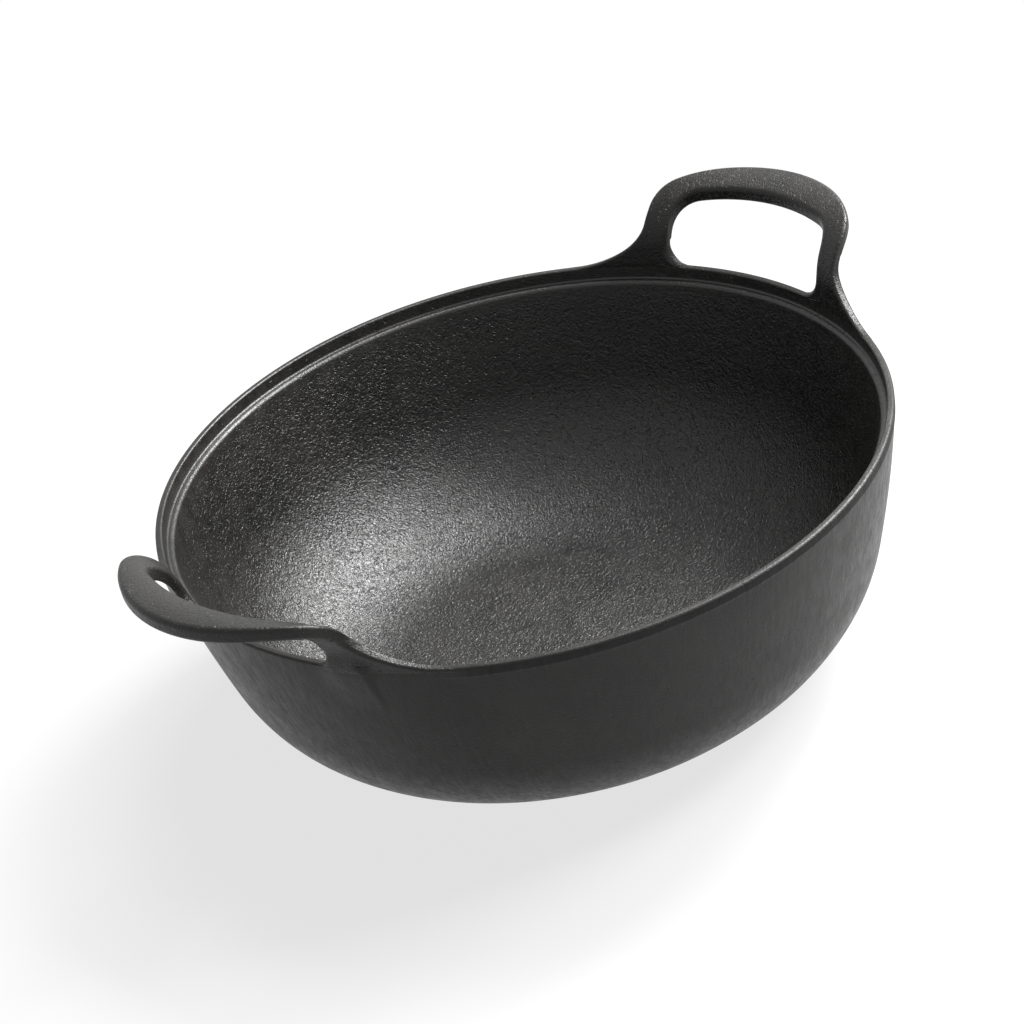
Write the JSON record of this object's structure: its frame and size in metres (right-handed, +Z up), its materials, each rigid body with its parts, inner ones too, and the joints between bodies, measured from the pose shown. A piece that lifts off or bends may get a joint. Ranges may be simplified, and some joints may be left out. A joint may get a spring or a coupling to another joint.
{
  "type": "kadai",
  "caption": "Deep round cast-iron pan with a flat base, bulging wall, stepped rim that seats a lid, and curled loop handles on opposite sides.",
  "frame": {"origin": "centre of the flat base, on its underside", "axes": "+X from the bowl axis towards one handle, the other handle on -X; +Z up along the bowl axis"},
  "size_m": [0.3182, 0.2596, 0.1178],
  "materials": {
    "cast_iron": "seasoned near-black iron, satin, fine-grained outside and pebbled inside"
  },
  "bodies": {
    "root": {"base": "cast_iron", "shoulder": "cast_iron", "wall": "cast_iron", "rim": "cast_iron", "handle_right": "cast_iron", "handle_left": "cast_iron"}
  },
  "joints": []
}
